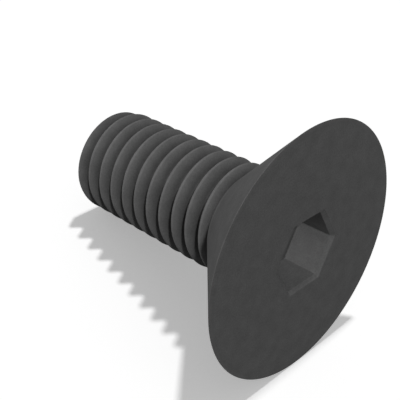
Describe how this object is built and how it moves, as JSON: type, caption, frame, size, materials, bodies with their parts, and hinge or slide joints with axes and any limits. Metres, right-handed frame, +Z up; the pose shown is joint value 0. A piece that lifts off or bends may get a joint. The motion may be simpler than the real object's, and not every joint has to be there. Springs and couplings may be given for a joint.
{
  "type": "countersunk socket screw",
  "caption": "Flat-head countersunk screw with a hexagon socket and a right-hand thread that runs up to its head, in blackened steel, lying on its side.",
  "frame": {"origin": "on the surface that the screw lies on, under the middle of its overall length and width", "axes": "+Z up from that surface, +X the way the screw points head first, with the head face leaning back 15.17 degrees from upright; +Y across the screw"},
  "size_m": [0.0136, 0.0112, 0.0108],
  "materials": {
    "blackened_steel": "black oxide on turned steel, satin, dark neutral grey"
  },
  "bodies": {
    "root": {"screw": "blackened_steel"}
  },
  "joints": []
}
